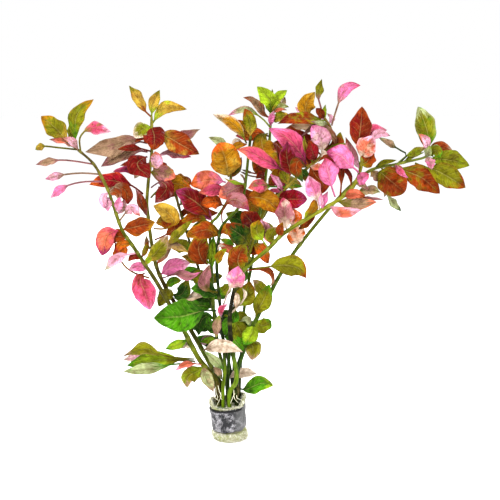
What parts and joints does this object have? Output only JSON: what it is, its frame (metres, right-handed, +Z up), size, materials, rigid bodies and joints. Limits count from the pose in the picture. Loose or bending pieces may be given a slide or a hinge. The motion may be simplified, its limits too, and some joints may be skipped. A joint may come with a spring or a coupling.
{
  "type": "weighted bunch of aquarium stem plants",
  "caption": "Bunch of ludwigia ovalis cuttings, green low down and amber, red and pink towards the tips, standing in a wool plug with a lead strip round it",
  "frame": {"origin": "middle of the flat underside of the wool plug, on the surface it stands on", "axes": "Z up, X across the fan of the bunch with its longer side branch towards +X, the pictured front towards -Y"},
  "size_m": [0.2864, 0.0751, 0.2471],
  "materials": {
    "stem": "smooth green to olive plant stem",
    "leaf_green": "satin green leaf",
    "leaf_olive": "satin olive leaf",
    "leaf_amber": "satin amber leaf",
    "leaf_red": "satin dark red leaf",
    "leaf_pink": "satin pink leaf",
    "leaf_pale": "satin pale tan leaf",
    "wool": "matte pale mineral wool",
    "lead": "dull mottled soft metal sheet"
  },
  "bodies": {
    "root": {"foam_plug": "wool", "lead_band": "lead", "left_stem": "stem", "second_stem": "stem", "dark_stem": "stem", "middle_stem": "stem", "right_stem": "stem", "far_right_stem": "stem", "crossing_stem": "stem", "top_stem": "stem", "back_left_stem": "stem", "back_right_stem": "stem", "crossing_stem_leaf_02": "leaf_green", "crossing_stem_leaf_15": "leaf_pink", "crossing_stem_leaf_16": "leaf_pink", "crossing_stem_leaf_17": "leaf_red", "crossing_stem_leaf_20": "leaf_pink", "crossing_stem_leaf_28": "leaf_amber", "crossing_stem_leaf_33": "leaf_pink", "dark_stem_leaf_01": "leaf_green", "dark_stem_leaf_12": "leaf_pink", "dark_stem_leaf_15": "leaf_olive", "dark_stem_leaf_19": "leaf_pink", "dark_stem_leaf_20": "leaf_amber", "dark_stem_leaf_21": "leaf_amber", "far_right_stem_leaf_01": "leaf_olive", "far_right_stem_leaf_06": "leaf_green", "far_right_stem_leaf_09": "leaf_red", "far_right_stem_leaf_15": "leaf_red", "far_right_stem_leaf_17": "leaf_olive", "far_right_stem_leaf_18": "leaf_olive", "far_right_stem_leaf_21": "leaf_olive", "left_stem_leaf_01": "leaf_olive", "left_stem_leaf_03": "leaf_olive", "left_stem_leaf_17": "leaf_pink", "left_stem_leaf_19": "leaf_amber", "left_stem_leaf_23": "leaf_pink", "left_stem_leaf_28": "leaf_green", "left_stem_leaf_29": "leaf_olive", "left_stem_leaf_30": "leaf_green", "left_stem_leaf_31": "leaf_pink", "middle_stem_leaf_02": "leaf_red", "middle_stem_leaf_04": "leaf_red", "middle_stem_leaf_07": "leaf_pink", "middle_stem_leaf_10": "leaf_amber", "right_stem_leaf_04": "leaf_olive", "right_stem_leaf_06": "leaf_olive", "right_stem_leaf_18": "leaf_pink", "right_stem_leaf_20": "leaf_pink", "right_stem_leaf_31": "leaf_red", "second_stem_leaf_07": "leaf_red", "second_stem_leaf_10": "leaf_pale", "second_stem_leaf_11": "leaf_pale", "second_stem_leaf_12": "leaf_red", "second_stem_leaf_18": "leaf_red", "second_stem_leaf_19": "leaf_red", "second_stem_leaf_21": "leaf_amber", "second_stem_leaf_22": "leaf_red", "second_stem_leaf_30": "leaf_amber", "top_stem_leaf_12": "leaf_amber"}
  },
  "joints": []
}
